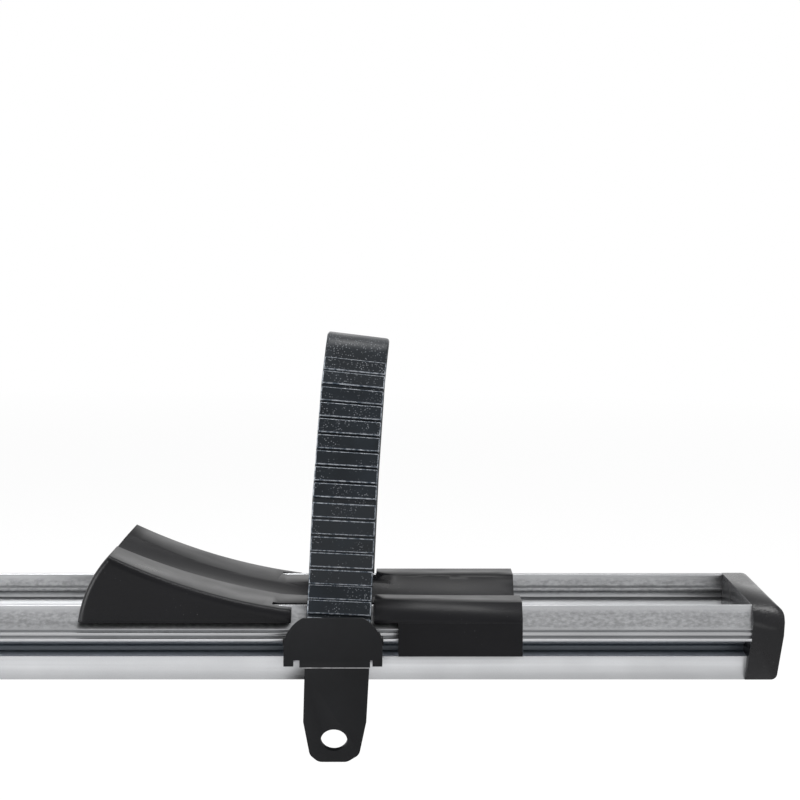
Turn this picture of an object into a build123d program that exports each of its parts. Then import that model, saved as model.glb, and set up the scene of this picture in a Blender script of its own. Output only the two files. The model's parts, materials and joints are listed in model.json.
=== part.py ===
from build123d import *
import os
from math import cos, radians, sin, sqrt, tan

os.makedirs("parts", exist_ok=True)

# Roof bike carrier, in millimetres. +X is the car's rear, +Z is up, and the near side is -Y.
# The origin is the middle of the front foot's seat on its crossbar.

# Layout
wheelbase = 1170.0
front_contact_reach = 283.5
front_contact_inset = 176.5
rear_contact_inset = 74.7
rear_foot_setback = 236.5
rail_base = 38.0
tyre_radius = 372.0
tyre_width = 62.0
tyre_drop = 8.3
strap_to_contact = 49.0
running_gap = 0.3
overrun = 5.0

# Wheel rail section
rail_height = 23.0
flange_half = 38.0
crest_half = 34.0
crest_round = 0.9
body_half = 30.0
band_height = 7.0
side_slot_depth = 7.5
side_slot_rise = 0.5
side_slot_roof = 8.9
side_slot_lip = 1.6
side_slot_top = 11.8
flange_root_half = 32.8
flange_roof = 14.6
flange_lip = 1.6
flange_bottom = 12.8
bead_bottom = 14.2
bead_top = 15.8
bead_groove = 0.7
trough_depth = 12.0
trough_floor_half = 24.0
trough_slope_rise = 4.6
trough_shelf_half = 31.2
trough_lip_half = 30.2
trough_lip_top = 18.5
trough_lip_thick = 0.9
trough_lip_step = 0.6
wall = 1.8
tslot_mouth_half = 6.0
tslot_half = 12.0
tslot_lip = 2.0
tslot_roof = 7.2
rail_mitre = 1.4
shoulder_shares = ((0.24, 0.28), (0.50, 0.50), (0.62, 0.64), (0.82, 0.84))

# End caps
cap_thick = 9.3
cap_lap = 0.4
cap_belt_low = 14.5
cap_belt_high = 18.5
cap_top_round = 3.0
cap_low_round = 1.8
plug_depth = 12.0
plug_gap = 0.25

# Wheel cradle
cradle_wall = 2.6
cradle_hem = 18.7
wedge_end = 75.2
wedge_lead = 66.0
wedge_bulge = 1.9
wedge_cheek_high = 5.4
wedge_cheek_mid = 2.8
wedge_cheek_low = 2.6
wedge_draft = 1.5
wedge_height = 44.0
wedge_round = 2.4
strap_gap_left = 12.5
strap_gap_right = 11.9
cradle_end = 55.5
skirt_start = 19.0
skirt_low = 8.7
skirt_clip_reach = 2.2
skirt_clip_height = 1.6
band_top = 24.1
band_top_half = 36.0
band_edge = 1.0

# Ladder strap
strap_width = 19.4
strap_thick = 3.0
strap_shift = 1.2
strap_lean = 3.3
strap_leg = 40.0
strap_start = 10.4
strap_bend_low = 17.2
strap_crest_side = 34.6
strap_crest_height = 26.6
strap_tyre_side = 33.0
strap_tyre_low = 38.0
strap_tyre_high = 54.0
strap_rim_side = 18.5
strap_rim_height = 87.0
strap_top_side = 9.5
strap_top = 99.8
strap_bend_radius = 8.0
strap_far_start = 15.0
strap_far_side = 40.9
tooth_pitch = 5.0
tooth_length = 4.4
tooth_height = 1.0
tooth_width = 18.6
tooth_first = 2.6
tooth_count = 18
eye_side = 43.0
eye_height = 13.5
eye_radius = 3.5

# Buckle
sheet = 1.5
pin_radius = 1.5
pin_gap = 0.05
pin_side = 44.6
pin_height = 14.0
lever_face = 48.5
lever_half = 14.35
lever_top = 21.3
lever_top_half = 8.7
lever_shoulder = 13.2
shoulder_side = 12.45
shoulder_height = 18.1
lever_ear_low = 7.2
lever_bend = 6.8
notch_height = 9.0
notch_outer = 11.5
notch_left = 9.7
notch_right = 10.8
tongue_angle = 25.0
tongue_length = 34.0
tongue_left = 8.2
tongue_right = 10.6
tongue_waist_length = 19.3
tongue_waist_left = 9.0
tongue_waist_right = 9.6
tongue_neck_length = 31.4
tongue_neck_left = 7.3
tongue_neck_right = 7.4
tongue_end_left = 4.8
tongue_end_right = 3.8
tongue_round = 3.0
finger_hole_radius = 3.9
finger_hole_place = 26.0
lever_flange_top = 16.4
lever_flange_back = 41.6
lever_flange_round = 1.8
pawl_low = 10.3
pawl_high = 12.2
pawl_gap = 0.4
bracket_half = 12.5
bracket_floor = 8.2
bracket_front = 46.4
bracket_cheek_back = 38.6
bracket_top = 16.2
bracket_hook_back = 33.9

# Crossbar feet
pad_thick = 3.0
bar_depth = 36.0
bar_width = 80.0
saddle_half_top = 46.0
saddle_half_low = 58.0
saddle_width_half = 34.0
saddle_flare_height = 18.0
saddle_round = 4.0
hook_thick = 9.0
hook_lip_thick = 8.0
hook_lip_reach = 18.0
hook_round = 3.0
jaw_half = 30.0
jaw_neck_half = 12.0
jaw_tongue_half = 9.7
jaw_tongue_low = 8.0
jaw_tongue_high = 20.0
jaw_tongue_start = 10.0
jaw_travel = 30.0
jaw_gap = 0.3
screw_radius = 4.0
screw_gap = 0.1
screw_height = 14.0
screw_tip = 38.0
knob_radius = 20.0
knob_depth = 16.0
knob_lobes = 6
knob_notch_radius = 7.0
knob_notch_place = 24.5
knob_hub_radius = 8.5
knob_hub_length = 7.0
knob_standoff = 1.0
pocket_depth = 7.0
pocket_wall = 5.0
block_length = 60.0
block_gap = 0.3
block_low = 24.0
rail_bolt_radius = 3.0
rail_bolt_height = 31.0
hex_size = 10.0
hex_height = 4.0
shelf_reach = 108.0
shelf_top = 18.0

# Arm base
arm_side = 86.0
pivot_height = 62.0
cheek_gap = 0.3
cheek_thick = 6.0
cheek_radius = 18.0
cheek_foot_half = 26.0
base_plate_thick = 8.0
base_plate_half = 40.0
base_plate_inner = 36.0
base_round = 6.0
base_screw_inset = 7.0
base_screw_radius = 3.0
base_screw_head = 5.0
base_screw_head_height = 5.0
pivot_radius = 6.0
pivot_gap = 0.05
pivot_head_radius = 11.0
pivot_head_height = 5.0

# Frame holder arm, drawn upright about its pivot and then leant
arm_lean = 28.0
tube_half_length = 18.0
tube_half_width = 12.0
tube_wall = 2.0
tube_start = 24.0
tube_end_drop = 45.0
socket_wall = 3.0
socket_gap = 0.1
foot_hub_radius = 17.0
foot_socket_low = 6.0
foot_socket_high = 64.0
head_socket_drop = 90.0
grip_height = 470.0
grip_radius = 34.0
claw_thick = 10.0
claw_half = 17.0
claw_start_angle = 25.0
claw_tip_angle = 30.0
claw_round = 3.0
grip_pad_thick = 4.0
grip_pad_half = 14.0
neck_drop = 42.0
post_left = 8.0
post_right = 12.0
post_half = 12.0
post_rise = 82.0
post_gap = 0.15
sleeve_wall = 6.0
sleeve_length = 34.0
claw_screw_side = 34.0
claw_screw_radius = 4.0
claw_screw_rise = 75.0
claw_nut_radius = 9.0
claw_knob_radius = 16.0
claw_knob_depth = 14.0
claw_knob_notch_place = 19.5
claw_knob_notch_radius = 5.5
claw_knob_standoff = 1.0


# Drawing helpers

def mirrored_face(half):
    """Closed face from the +Y half of an outline that starts and ends on the middle line."""
    return make_face((half + mirror(half, about=Plane.YZ)).edges())


def polygon(points):
    """Closed face from a list of corners."""
    return make_face(Polyline(*points, close=True).edges())


def along_x(face, start, end):
    """Solid from a face drawn in (Y, Z), between two X places."""
    return extrude(Plane.YZ.offset(start) * face, amount=end - start)


def along_y(face, start, end):
    """Solid from a face drawn in (X, Z), between two Y places."""
    return extrude(Plane.XZ.offset(-start) * face, amount=end - start, dir=(0, 1, 0))


def along_z(face, start, end):
    """Solid from a face drawn in (X, Y), between two Z places."""
    return extrude(Plane.XY.offset(start) * face, amount=end - start)


def block(x0, x1, y0, y1, z0, z1):
    """Box between three pairs of places."""
    middle = Pos((x0 + x1) / 2, (y0 + y1) / 2, (z0 + z1) / 2)
    return middle * Box(x1 - x0, y1 - y0, z1 - z0)


def rod_x(radius, x0, x1, y, z):
    """Round bar along X."""
    return Pos((x0 + x1) / 2, y, z) * Rot(0, 90, 0) * Cylinder(radius, x1 - x0)


def rod_y(radius, y0, y1, x, z):
    """Round bar along Y."""
    return Pos(x, (y0 + y1) / 2, z) * Rot(90, 0, 0) * Cylinder(radius, y1 - y0)


def rod_z(radius, z0, z1, x, y):
    """Round bar along Z."""
    return Pos(x, y, (z0 + z1) / 2) * Cylinder(radius, z1 - z0)


def save(name, *solids):
    """Writes one node, as one solid or as a group of solids."""
    shape = solids[0] if len(solids) == 1 else Compound(children=list(solids))
    export_step(shape, "parts/" + name + ".step")


# Wheel rail

trough_floor = rail_height - trough_depth
front_contact = -front_contact_reach
rear_contact = front_contact + wheelbase
rail_front = front_contact - front_contact_inset
rail_rear = rear_contact + rear_contact_inset
crossbar_spacing = rear_contact - rear_foot_setback


def rail_outline():
    """Half of the rail's section, from the slot's roof round to the trough's floor."""
    crest_y = crest_half - crest_round
    crest_z = rail_height - crest_round
    crest = CenterArc((crest_y, crest_z), crest_round, 45, 135)
    underside = Polyline(
        (0, tslot_roof),
        (tslot_half, tslot_roof),
        (tslot_half, tslot_lip),
        (tslot_mouth_half, tslot_lip),
        (tslot_mouth_half, 0),
        (body_half, 0),
        (body_half, band_height),
        (body_half - side_slot_depth, band_height + side_slot_rise),
        (body_half - side_slot_depth, side_slot_roof),
        (body_half - side_slot_lip, side_slot_top),
        (flange_root_half, flange_roof),
        (flange_half - flange_lip, flange_roof),
        (flange_half - flange_lip, flange_bottom),
        (flange_half, flange_bottom),
        (flange_half, bead_bottom - bead_groove),
        (flange_half - bead_groove, bead_bottom),
    )
    bead_middle = (flange_half, (bead_bottom + bead_top) / 2)
    bead = ThreePointArc((flange_half - bead_groove, bead_bottom), bead_middle,
                         (flange_half - bead_groove, bead_top))
    shoulder_low = (flange_half, bead_top + bead_groove)
    edge = Line((flange_half - bead_groove, bead_top), shoulder_low)
    high = crest @ 0
    rise = high.Y - shoulder_low[1]
    run = flange_half - high.X
    middle = [(flange_half - a * run, shoulder_low[1] + b * rise) for a, b in shoulder_shares]
    shoulder = Spline(shoulder_low, *middle, (high.X, high.Y))
    trough = Polyline(
        (crest_y - crest_round, crest_z),
        (crest_y - crest_round, trough_lip_top + trough_lip_step),
        (trough_lip_half, trough_lip_top),
        (trough_lip_half, trough_lip_top - trough_lip_thick),
        (trough_shelf_half, trough_lip_top - trough_lip_thick - trough_lip_step),
        (trough_shelf_half, trough_floor + trough_slope_rise),
        (trough_floor_half, trough_floor),
        (0, trough_floor),
    )
    return underside + bead + edge + shoulder + crest + trough


def side_chamber(inset):
    """Stepped hollow beside the bottom slot and under the side slot, drawn smaller by an inset."""
    left = tslot_half + wall + inset
    step = body_half - side_slot_depth - wall - inset
    right = body_half - wall - inset
    low = wall + inset
    shelf = band_height - wall - inset
    high = trough_floor - wall - inset
    return polygon([(left, low), (right, low), (right, shelf), (step, shelf), (step, high), (left, high)])


def mitre_slab(x0, x1, low_shift, high_shift, half):
    """Slab between two leaning ends, wide enough to trim a piece across the rail."""
    corners = [
        (x0 - low_shift, 0),
        (x1 + low_shift, 0),
        (x1 + high_shift, rail_height),
        (x0 - high_shift, rail_height),
    ]
    return along_y(polygon(corners), -half, half)


def wheel_rail():
    """Extruded tray with its two ends cut on a slight lean."""
    section = mirrored_face(rail_outline())
    chamber = side_chamber(0)
    section = section - chamber - mirror(chamber, about=Plane.YZ)
    bar = along_x(section, rail_front, rail_rear)
    return bar & mitre_slab(rail_front, rail_rear, -rail_mitre, 0, flange_half + overrun)


def end_cap():
    """Rear cap: a leaning plate as wide as the rail, with two plugs for its chambers."""
    half = Polyline(
        (0, 0),
        (body_half + cap_lap, 0),
        (flange_half + cap_lap, cap_belt_low),
        (flange_half + cap_lap, cap_belt_high),
        (crest_half, rail_height),
        (0, rail_height),
    )
    plate = along_x(mirrored_face(half), rail_rear - rail_mitre, rail_rear + cap_thick)
    side = polygon([
        (rail_rear - rail_mitre, 0),
        (rail_rear - rail_mitre + cap_thick, 0),
        (rail_rear + cap_thick, rail_height),
        (rail_rear, rail_height),
    ])
    outer = side.vertices().sort_by(Axis.X)[-2:]
    side = fillet(outer.sort_by(Axis.Y)[-1], cap_top_round)
    side = fillet(side.vertices().filter_by_position(Axis.Y, 0, 0).sort_by(Axis.X)[-1], cap_low_round)
    width = flange_half + overrun
    plate = plate & along_y(side, -width, width)
    plug = along_x(side_chamber(plug_gap), rail_rear - plug_depth, rail_rear)
    return plate + plug + mirror(plug, about=Plane.XZ)


# Wheel cradle, about the middle of its strap

tyre_bottom = rail_height - tyre_drop
wheel_centre = tyre_bottom + tyre_radius
outer_half = flange_half + running_gap + cradle_wall


def tread(x):
    """Height of the tyre's tread above a place along the cradle."""
    return wheel_centre - sqrt(tyre_radius ** 2 - (x - strap_to_contact) ** 2)


def tray_fit():
    """Points that follow the rail's trough and crest with a running gap."""
    return [
        (0, trough_floor + running_gap),
        (trough_floor_half - running_gap, trough_floor + running_gap),
        (trough_lip_half - running_gap, trough_floor + trough_slope_rise),
        (trough_lip_half - running_gap, rail_height + running_gap),
        (crest_half + running_gap, rail_height + running_gap),
        (flange_half + running_gap, cradle_hem),
        (outer_half, cradle_hem),
    ]


def wheel_ramp():
    """Ramp under the tyre's inner side, with a concave top that follows the tread."""
    half = Polyline(*tray_fit(), (outer_half - wedge_draft, wedge_height), (0, wedge_height))
    body = along_x(mirrored_face(half), -wedge_end, -strap_gap_left)
    middle = -(wedge_lead + strap_gap_left) / 2
    tip = (-wedge_lead, tread(-wedge_lead) + wedge_cheek_high)
    heel = (-strap_gap_left, tread(-strap_gap_left) + wedge_cheek_low)
    bulge = (-(wedge_end + wedge_lead) / 2 - wedge_bulge, (cradle_hem + tip[1]) / 2)
    outline = Polyline((-wedge_end, cradle_hem), (-wedge_end, trough_floor),
                       (-strap_gap_left, trough_floor), heel)
    outline += ThreePointArc(heel, (middle, tread(middle) + wedge_cheek_mid), tip)
    outline += ThreePointArc(tip, bulge, (-wedge_end, cradle_hem))
    ramp = body & along_y(make_face(outline.edges()), -outer_half, outer_half)
    rims = [e for e in ramp.edges() if abs(e.center().Y) > outer_half - wedge_draft - overrun / 2
            and e.center().Z > rail_height and abs(e.tangent_at(0).Y) < sin(radians(45))]
    return fillet(rims, wedge_round)


def wheel_seat():
    """Low end of the cradle: a band over the crests and the trough's lining."""
    half = Polyline(*tray_fit(), (outer_half, cradle_hem + band_edge), (band_top_half, band_top),
                    (0, band_top))
    return along_x(mirrored_face(half), strap_gap_right, cradle_end)


def cradle_bridge():
    """Lining of the trough between ramp and seat, inside the strap's gap."""
    inner = trough_lip_half - running_gap
    half = Polyline(*tray_fit()[:3], (inner, rail_height), (0, rail_height))
    return along_x(mirrored_face(half), -strap_gap_left - overrun, strap_gap_right + overrun)


def cradle_skirt():
    """Side wall that hangs to the lower edge of the side slot, with a clip in the slot."""
    inner = flange_half + running_gap
    clip_top = flange_bottom - running_gap
    face = polygon([
        (-outer_half, cradle_hem + band_edge),
        (-outer_half + band_edge / 2, skirt_low),
        (-inner, skirt_low),
        (-inner, clip_top - skirt_clip_height),
        (-inner + skirt_clip_reach, clip_top - skirt_clip_height / 2),
        (-inner + skirt_clip_reach, clip_top),
        (-inner, clip_top),
        (-inner, cradle_hem + band_edge),
    ])
    return along_x(face, skirt_start, cradle_end)


def wheel_cradle():
    """Cradle with the tyre's groove cut through it."""
    skirt = cradle_skirt()
    body = wheel_ramp() + wheel_seat() + cradle_bridge() + skirt + mirror(skirt, about=Plane.XZ)
    minor = tyre_width / 2
    wheel = Rot(90, 0, 0) * Torus(tyre_radius - minor, minor)
    return body - Pos(strap_to_contact, 0, wheel_centre) * wheel


# Ladder strap

def strap_path():
    """Middle line of the strap, from the buckle over tyre and rim to the far anchor."""
    near = [
        (strap_leg, strap_start),
        (strap_leg, strap_bend_low),
        (strap_crest_side, strap_crest_height),
        (strap_tyre_side, strap_tyre_low),
        (strap_tyre_side, strap_tyre_high),
        (strap_rim_side, strap_rim_height),
        (strap_top_side, strap_top),
    ]
    far = near[:1:-1] + [(strap_far_side, strap_far_start)]
    points = [(0, -y, z) for y, z in near] + [(0, y, z) for y, z in far]
    return FilletPolyline(*points, radius=strap_bend_radius)


def ladder_strap():
    """Band with cross teeth on its near leg and an eye at its far end."""
    path = strap_path()
    start = Plane(origin=path @ 0, x_dir=(1, 0, 0), z_dir=path % 0)
    band = sweep(start * Rectangle(strap_width, strap_thick), path=path)
    tooth = Box(tooth_width, tooth_height + strap_thick / 2, tooth_length)
    reach = (tooth_height + strap_thick / 2) / 2
    for i in range(tooth_count):
        share = (tooth_first + i * tooth_pitch) / path.length
        tangent = path % share
        outward = Vector(0, -tangent.Z, tangent.Y)
        place = Plane(origin=(path @ share) + outward * reach, x_dir=(1, 0, 0), z_dir=tangent)
        band += place * tooth
    eye = rod_x(eye_radius, -strap_width / 2, strap_width / 2, eye_side, eye_height)
    bore = rod_x(pin_radius + pin_gap, -strap_width, strap_width, eye_side, eye_height)
    pivot = Pos(0, 0, strap_bend_low)
    leaning = Pos(strap_shift, 0, strap_bend_low) * Rot(0, strap_lean, 0) * pivot.inverse() * band
    return leaning + eye - bore


# Buckle

def slot_bracket(side, height):
    """Steel bracket hooked behind the flange's lip, with two cheeks for a pin."""
    hook_top = flange_roof - running_gap
    profile = polygon([
        (-bracket_front, bracket_floor),
        (-bracket_hook_back, bracket_floor),
        (-bracket_hook_back, hook_top),
        (-bracket_hook_back - sheet, hook_top),
        (-bracket_hook_back - sheet, bracket_floor + sheet),
        (-bracket_front, bracket_floor + sheet),
    ])
    floor = along_x(profile, -bracket_half, bracket_half)
    cheek_face = polygon([
        (-bracket_front, bracket_floor),
        (-bracket_cheek_back, bracket_floor),
        (-bracket_cheek_back, bracket_top),
        (-bracket_front, bracket_top),
    ])
    cheek_face = fillet(cheek_face.vertices().filter_by_position(Axis.Y, bracket_top, bracket_top),
                        lever_flange_round)
    cheek = along_x(cheek_face, -bracket_half, -bracket_half + sheet)
    hole = rod_x(pin_radius, -lever_half - overrun, lever_half + overrun, -side, height)
    return floor + cheek + mirror(cheek, about=Plane.YZ) - hole


def hinge_pin(side, height):
    """Pin through bracket cheeks and lever flanges."""
    length = lever_half + running_gap
    return rod_x(pin_radius, -length, length, -side, height)


def bent_strip():
    """Side view of the lever's sheet: an upright shield and a tongue leaning inward."""
    lean = radians(tongue_angle)
    inner = lever_face - sheet
    tip_y = lever_face - tongue_length * sin(lean)
    tip_z = lever_bend - tongue_length * cos(lean)
    corners = [
        (-lever_face, lever_top),
        (-lever_face, lever_bend),
        (-tip_y, tip_z),
        (-tip_y + sheet * cos(lean), tip_z + sheet * sin(lean)),
        (-inner, lever_bend + sheet * tan(lean / 2)),
        (-inner, lever_top),
    ]
    strip = polygon(corners)
    bend = strip.vertices().filter_by_position(Axis.Y, lever_bend, lever_bend)
    return fillet(bend, sheet)


def lever_outline():
    """Front view of the lever: shouldered shield with ears, relief notches and a tapered tongue."""
    fall = cos(radians(tongue_angle))
    waist = lever_bend - tongue_waist_length * fall
    neck = lever_bend - tongue_neck_length * fall
    end = lever_bend - tongue_length * fall
    edge = Polyline(
        (-lever_half, lever_shoulder),
        (-lever_half, lever_ear_low),
        (-notch_outer, lever_ear_low),
        (-notch_outer, notch_height),
        (-notch_left, notch_height),
        (-notch_left, lever_bend),
        (notch_right, lever_bend),
        (notch_right, notch_height),
        (notch_outer, notch_height),
        (notch_outer, lever_ear_low),
        (lever_half, lever_ear_low),
        (lever_half, lever_shoulder),
    )
    right = ThreePointArc(edge @ 1, (shoulder_side, shoulder_height), (lever_top_half, lever_top))
    left = ThreePointArc(edge @ 0, (-shoulder_side, shoulder_height), (-lever_top_half, lever_top))
    shield = make_face((edge + right + Line(right @ 1, left @ 1) + left).edges())
    tongue = polygon([
        (-tongue_left, lever_bend),
        (-tongue_waist_left, waist),
        (-tongue_neck_left, neck),
        (-tongue_end_left, end),
        (tongue_end_right, end),
        (tongue_neck_right, neck),
        (tongue_waist_right, waist),
        (tongue_right, lever_bend),
    ])
    lower = tongue.vertices().filter_by_position(Axis.Y, end - overrun, neck + overrun)
    return shield + fillet(lower, tongue_round)


def buckle_lever():
    """Bent steel lever with side flanges for the pin, a pawl bar and a finger hole."""
    strip = along_x(bent_strip(), -lever_half, lever_half)
    sheet_metal = strip & along_y(lever_outline(), -lever_face - overrun, 0)
    flange_face = polygon([
        (-lever_face + sheet / 2, lever_ear_low),
        (-lever_flange_back, lever_ear_low),
        (-lever_flange_back, lever_flange_top),
        (-lever_face + sheet / 2, lever_flange_top),
    ])
    back = flange_face.vertices().filter_by_position(Axis.X, -lever_flange_back, -lever_flange_back)
    flange_face = fillet(back, lever_flange_round)
    flange = along_x(flange_face, -lever_half, -lever_half + sheet)
    flange &= along_y(lever_outline(), -lever_face - overrun, 0)
    pawl_tip = strap_leg + strap_thick / 2 + tooth_height + pawl_gap
    pawl_end = strap_width / 2
    pawl = block(-pawl_end, pawl_end, -lever_face + sheet / 2, -pawl_tip, pawl_low, pawl_high)
    body = sheet_metal + flange + mirror(flange, about=Plane.YZ) + pawl
    lean = radians(tongue_angle)
    hole_y = -lever_face + finger_hole_place * sin(lean)
    hole_z = lever_bend - finger_hole_place * cos(lean)
    hole = Pos(0, hole_y, hole_z) * Rot(90 + tongue_angle, 0, 0)
    hole = hole * Cylinder(finger_hole_radius, overrun * 2)
    bore = rod_x(pin_radius + pin_gap, -lever_half - overrun, lever_half + overrun, -pin_side,
                 pin_height)
    return body - hole - bore


# Crossbar feet, about the middle of their seat

saddle_top = rail_base - running_gap
hook_inner = bar_width / 2
hook_low = -bar_depth - hook_lip_thick
knob_start = -saddle_half_low - knob_standoff


def hook_profile():
    """Hook that wraps the front edge of the crossbar."""
    outer = hook_inner + hook_thick
    face = polygon([
        (-outer, pad_thick + hook_thick),
        (-outer, hook_low),
        (-outer + hook_lip_reach + hook_thick, hook_low),
        (-outer + hook_lip_reach + hook_thick, -bar_depth),
        (-hook_inner, -bar_depth),
        (-hook_inner, pad_thick + hook_thick),
    ])
    corners = face.vertices().filter_by_position(Axis.Y, hook_low, hook_low)
    return fillet(corners, hook_round)


def saddle_profile():
    """Side view of the saddle: narrow under the rail, flared to the crossbar."""
    face = polygon([
        (-saddle_half_low, pad_thick),
        (saddle_half_low, pad_thick),
        (saddle_half_low, saddle_flare_height),
        (saddle_half_top, saddle_top),
        (-saddle_half_top, saddle_top),
        (-saddle_half_low, saddle_flare_height),
    ])
    return fillet(face.vertices().filter_by_position(Axis.Y, saddle_flare_height, saddle_flare_height),
                  saddle_round)


def saddle(near):
    """Saddle under the rail; near is how far its seat and hook reach on the near side."""
    body = along_y(saddle_profile(), -saddle_width_half, saddle_width_half)
    if near > saddle_width_half:
        body += block(-saddle_half_low, saddle_half_low, -near, -saddle_width_half, pad_thick, shelf_top)
    body += along_y(hook_profile(), -near + hook_round, saddle_width_half - hook_round)
    slot_half = jaw_neck_half + jaw_gap
    inner = jaw_tongue_start - jaw_travel - jaw_gap
    low = jaw_tongue_low - jaw_gap
    high = jaw_tongue_high + jaw_gap
    tunnel_half = jaw_tongue_half + jaw_gap
    body -= block(inner, saddle_half_low + overrun, -tunnel_half, tunnel_half, low, high)
    neck_start = hook_inner - jaw_travel - jaw_gap
    body -= block(neck_start, saddle_half_low + overrun, -slot_half, slot_half, 0, high)
    body -= rod_x(screw_radius + screw_gap, -saddle_half_low - overrun, inner + overrun, 0, screw_height)
    block_half = block_length / 2 + block_gap
    neck = tslot_mouth_half - block_gap
    body -= block(-block_half, block_half, -neck - screw_gap, neck + screw_gap, block_low - block_gap,
                  saddle_top + overrun)
    width = saddle_width_half + overrun
    body -= rod_y(rail_bolt_radius + screw_gap, -width, width, 0, rail_bolt_height)
    for side in (-1, 1):
        body -= side_pocket(side)
    return body


def side_pocket(side):
    """Two sunk panels that leave a rib round the rail bolt on one side of the saddle."""
    left = hex_size
    right = saddle_half_top - pocket_wall
    low = jaw_tongue_high + pocket_wall
    high = saddle_top - pocket_wall
    y0, y1 = sorted((side * (saddle_width_half - pocket_depth), side * (saddle_width_half + overrun)))
    panel = block(left, right, y0, y1, low, high)
    return panel + mirror(panel, about=Plane.YZ)


def seat_pad(near):
    """Rubber pad under the saddle, between hook and open jaw, slotted for the jaw's neck."""
    edge = hook_inner - running_gap
    slot_half = jaw_neck_half + jaw_gap * 2
    inset = hook_round
    pad = block(-edge, edge, -near + inset, saddle_width_half - inset, 0, pad_thick)
    neck_start = hook_inner - jaw_travel - jaw_gap * 2
    return pad - block(neck_start, hook_inner, -slot_half, slot_half, -overrun, pad_thick + overrun)


def sliding_jaw():
    """Jaw that closes on the rear edge of the crossbar, on a tongue inside the saddle."""
    outer = hook_inner + hook_thick
    plate = mirror(hook_profile(), about=Plane.YZ)
    top = -jaw_gap
    jaw = along_y(plate, -jaw_half, jaw_half) & block(0, outer, -jaw_half, jaw_half, hook_low, top)
    jaw += block(hook_inner, outer, -jaw_neck_half, jaw_neck_half, top - hook_round, jaw_tongue_high)
    jaw += block(jaw_tongue_start, outer, -jaw_tongue_half, jaw_tongue_half, jaw_tongue_low,
                 jaw_tongue_high)
    return jaw - rod_x(screw_radius + screw_gap, 0, outer + overrun, 0, screw_height)


def clamp_screw():
    """Screw that draws the jaw in, from the knob to past the jaw's nut."""
    return rod_x(screw_radius, knob_start - knob_hub_length - knob_depth / 2, screw_tip, 0, screw_height)


def star_knob(radius, depth, notch_place, notch_radius, hub_radius, hub_length, bore):
    """Lobed knob along +Z, hub first, with a blind hole for its screw."""
    face = Circle(radius) - PolarLocations(notch_place, knob_lobes) * Circle(notch_radius)
    grip = extrude(face, amount=depth)
    grip = fillet(grip.edges().filter_by(GeomType.LINE), notch_radius / 3)
    grip = chamfer(grip.faces().sort_by(Axis.Z)[-1].edges(), notch_radius / 5)
    hub = rod_z(hub_radius, -hub_length, 0, 0, 0)
    return grip + hub - rod_z(bore, -hub_length - overrun, depth / 2, 0, 0)


def clamp_knob():
    """Star knob on the front end of the clamp screw."""
    knob = star_knob(knob_radius, knob_depth, knob_notch_place, knob_notch_radius, knob_hub_radius,
                     knob_hub_length, screw_radius)
    return Pos(knob_start - knob_hub_length, 0, screw_height) * Rot(0, -90, 0) * knob


def slide_block():
    """Steel block in the rail's bottom slot, with a blade that sits in the saddle."""
    half = block_length / 2
    neck = tslot_mouth_half - block_gap
    head = tslot_half - block_gap
    low = rail_base + tslot_lip + block_gap
    high = rail_base + tslot_roof - block_gap
    body = block(-half, half, -neck, neck, block_low, low) + block(-half, half, -head, head, low, high)
    return body - rod_y(rail_bolt_radius + screw_gap, -head - overrun, head + overrun, 0,
                        rail_bolt_height)


def hex_head(y0, y1, x, z):
    """Hexagonal head or nut along Y."""
    face = RegularPolygon(hex_size / 2, 6, major_radius=False)
    return along_y(Pos(x, z) * face, y0, y1)


def rail_bolt():
    """Cross bolt through saddle and block, with its nut."""
    width = saddle_width_half
    bolt = rod_y(rail_bolt_radius, -width, width + hex_height, 0, rail_bolt_height)
    head = hex_head(-width - hex_height, -width, 0, rail_bolt_height)
    nut = hex_head(width, width + hex_height, 0, rail_bolt_height)
    return bolt + head + nut


def crossbar_foot(name, x, near):
    """All the pieces of one foot."""
    place = Pos(x, 0, 0)
    save(name + "_saddle", place * saddle(near))
    save(name + "_seat_pad", place * seat_pad(near))
    save(name + "_jaw", place * sliding_jaw())
    save(name + "_clamp_screw", place * clamp_screw())
    save(name + "_clamp_knob", place * clamp_knob())
    save(name + "_slide_block", place * slide_block())
    save(name + "_rail_bolt", place * rail_bolt())


# Arm base

cheek_inner = tube_half_width + socket_wall + cheek_gap
base_top = shelf_top + base_plate_thick


def arm_base():
    """Cast clevis on the near shelf of the front foot."""
    plate = block(-base_plate_half, base_plate_half, -shelf_reach, -base_plate_inner, shelf_top, base_top)
    plate = fillet(plate.edges().filter_by(Axis.Z), base_round)
    top = pivot_height
    cheek_face = polygon([
        (-cheek_foot_half, base_top - base_plate_thick / 2),
        (cheek_foot_half, base_top - base_plate_thick / 2),
        (cheek_radius, top),
        (-cheek_radius, top),
    ])
    cheek_face += Pos(0, top) * Circle(cheek_radius)
    cheek_face -= Pos(0, top) * Circle(pivot_radius + pivot_gap)
    cheeks = along_y(cheek_face, -arm_side - cheek_inner - cheek_thick, -arm_side - cheek_inner)
    cheeks += along_y(cheek_face, -arm_side + cheek_inner, -arm_side + cheek_inner + cheek_thick)
    base = plate + cheeks
    for x, y in base_screw_places():
        base -= rod_z(base_screw_radius + screw_gap, shelf_top - overrun, base_top + overrun, x, y)
    return base


def base_screw_places():
    """Places of the four screws that hold the arm base down."""
    x = base_plate_half - base_screw_inset
    inner = base_plate_inner + base_screw_inset
    outer = shelf_reach - base_screw_inset
    return [(i * x, -y) for i in (-1, 1) for y in (inner, outer)]


def base_screws():
    """Four pan-head screws, down into the shelf."""
    screws = []
    for x, y in base_screw_places():
        shank = rod_z(base_screw_radius, base_top - base_plate_thick, base_top, x, y)
        head = rod_z(base_screw_head, base_top, base_top + base_screw_head_height, x, y)
        screws.append(shank + head)
    return screws


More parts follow.
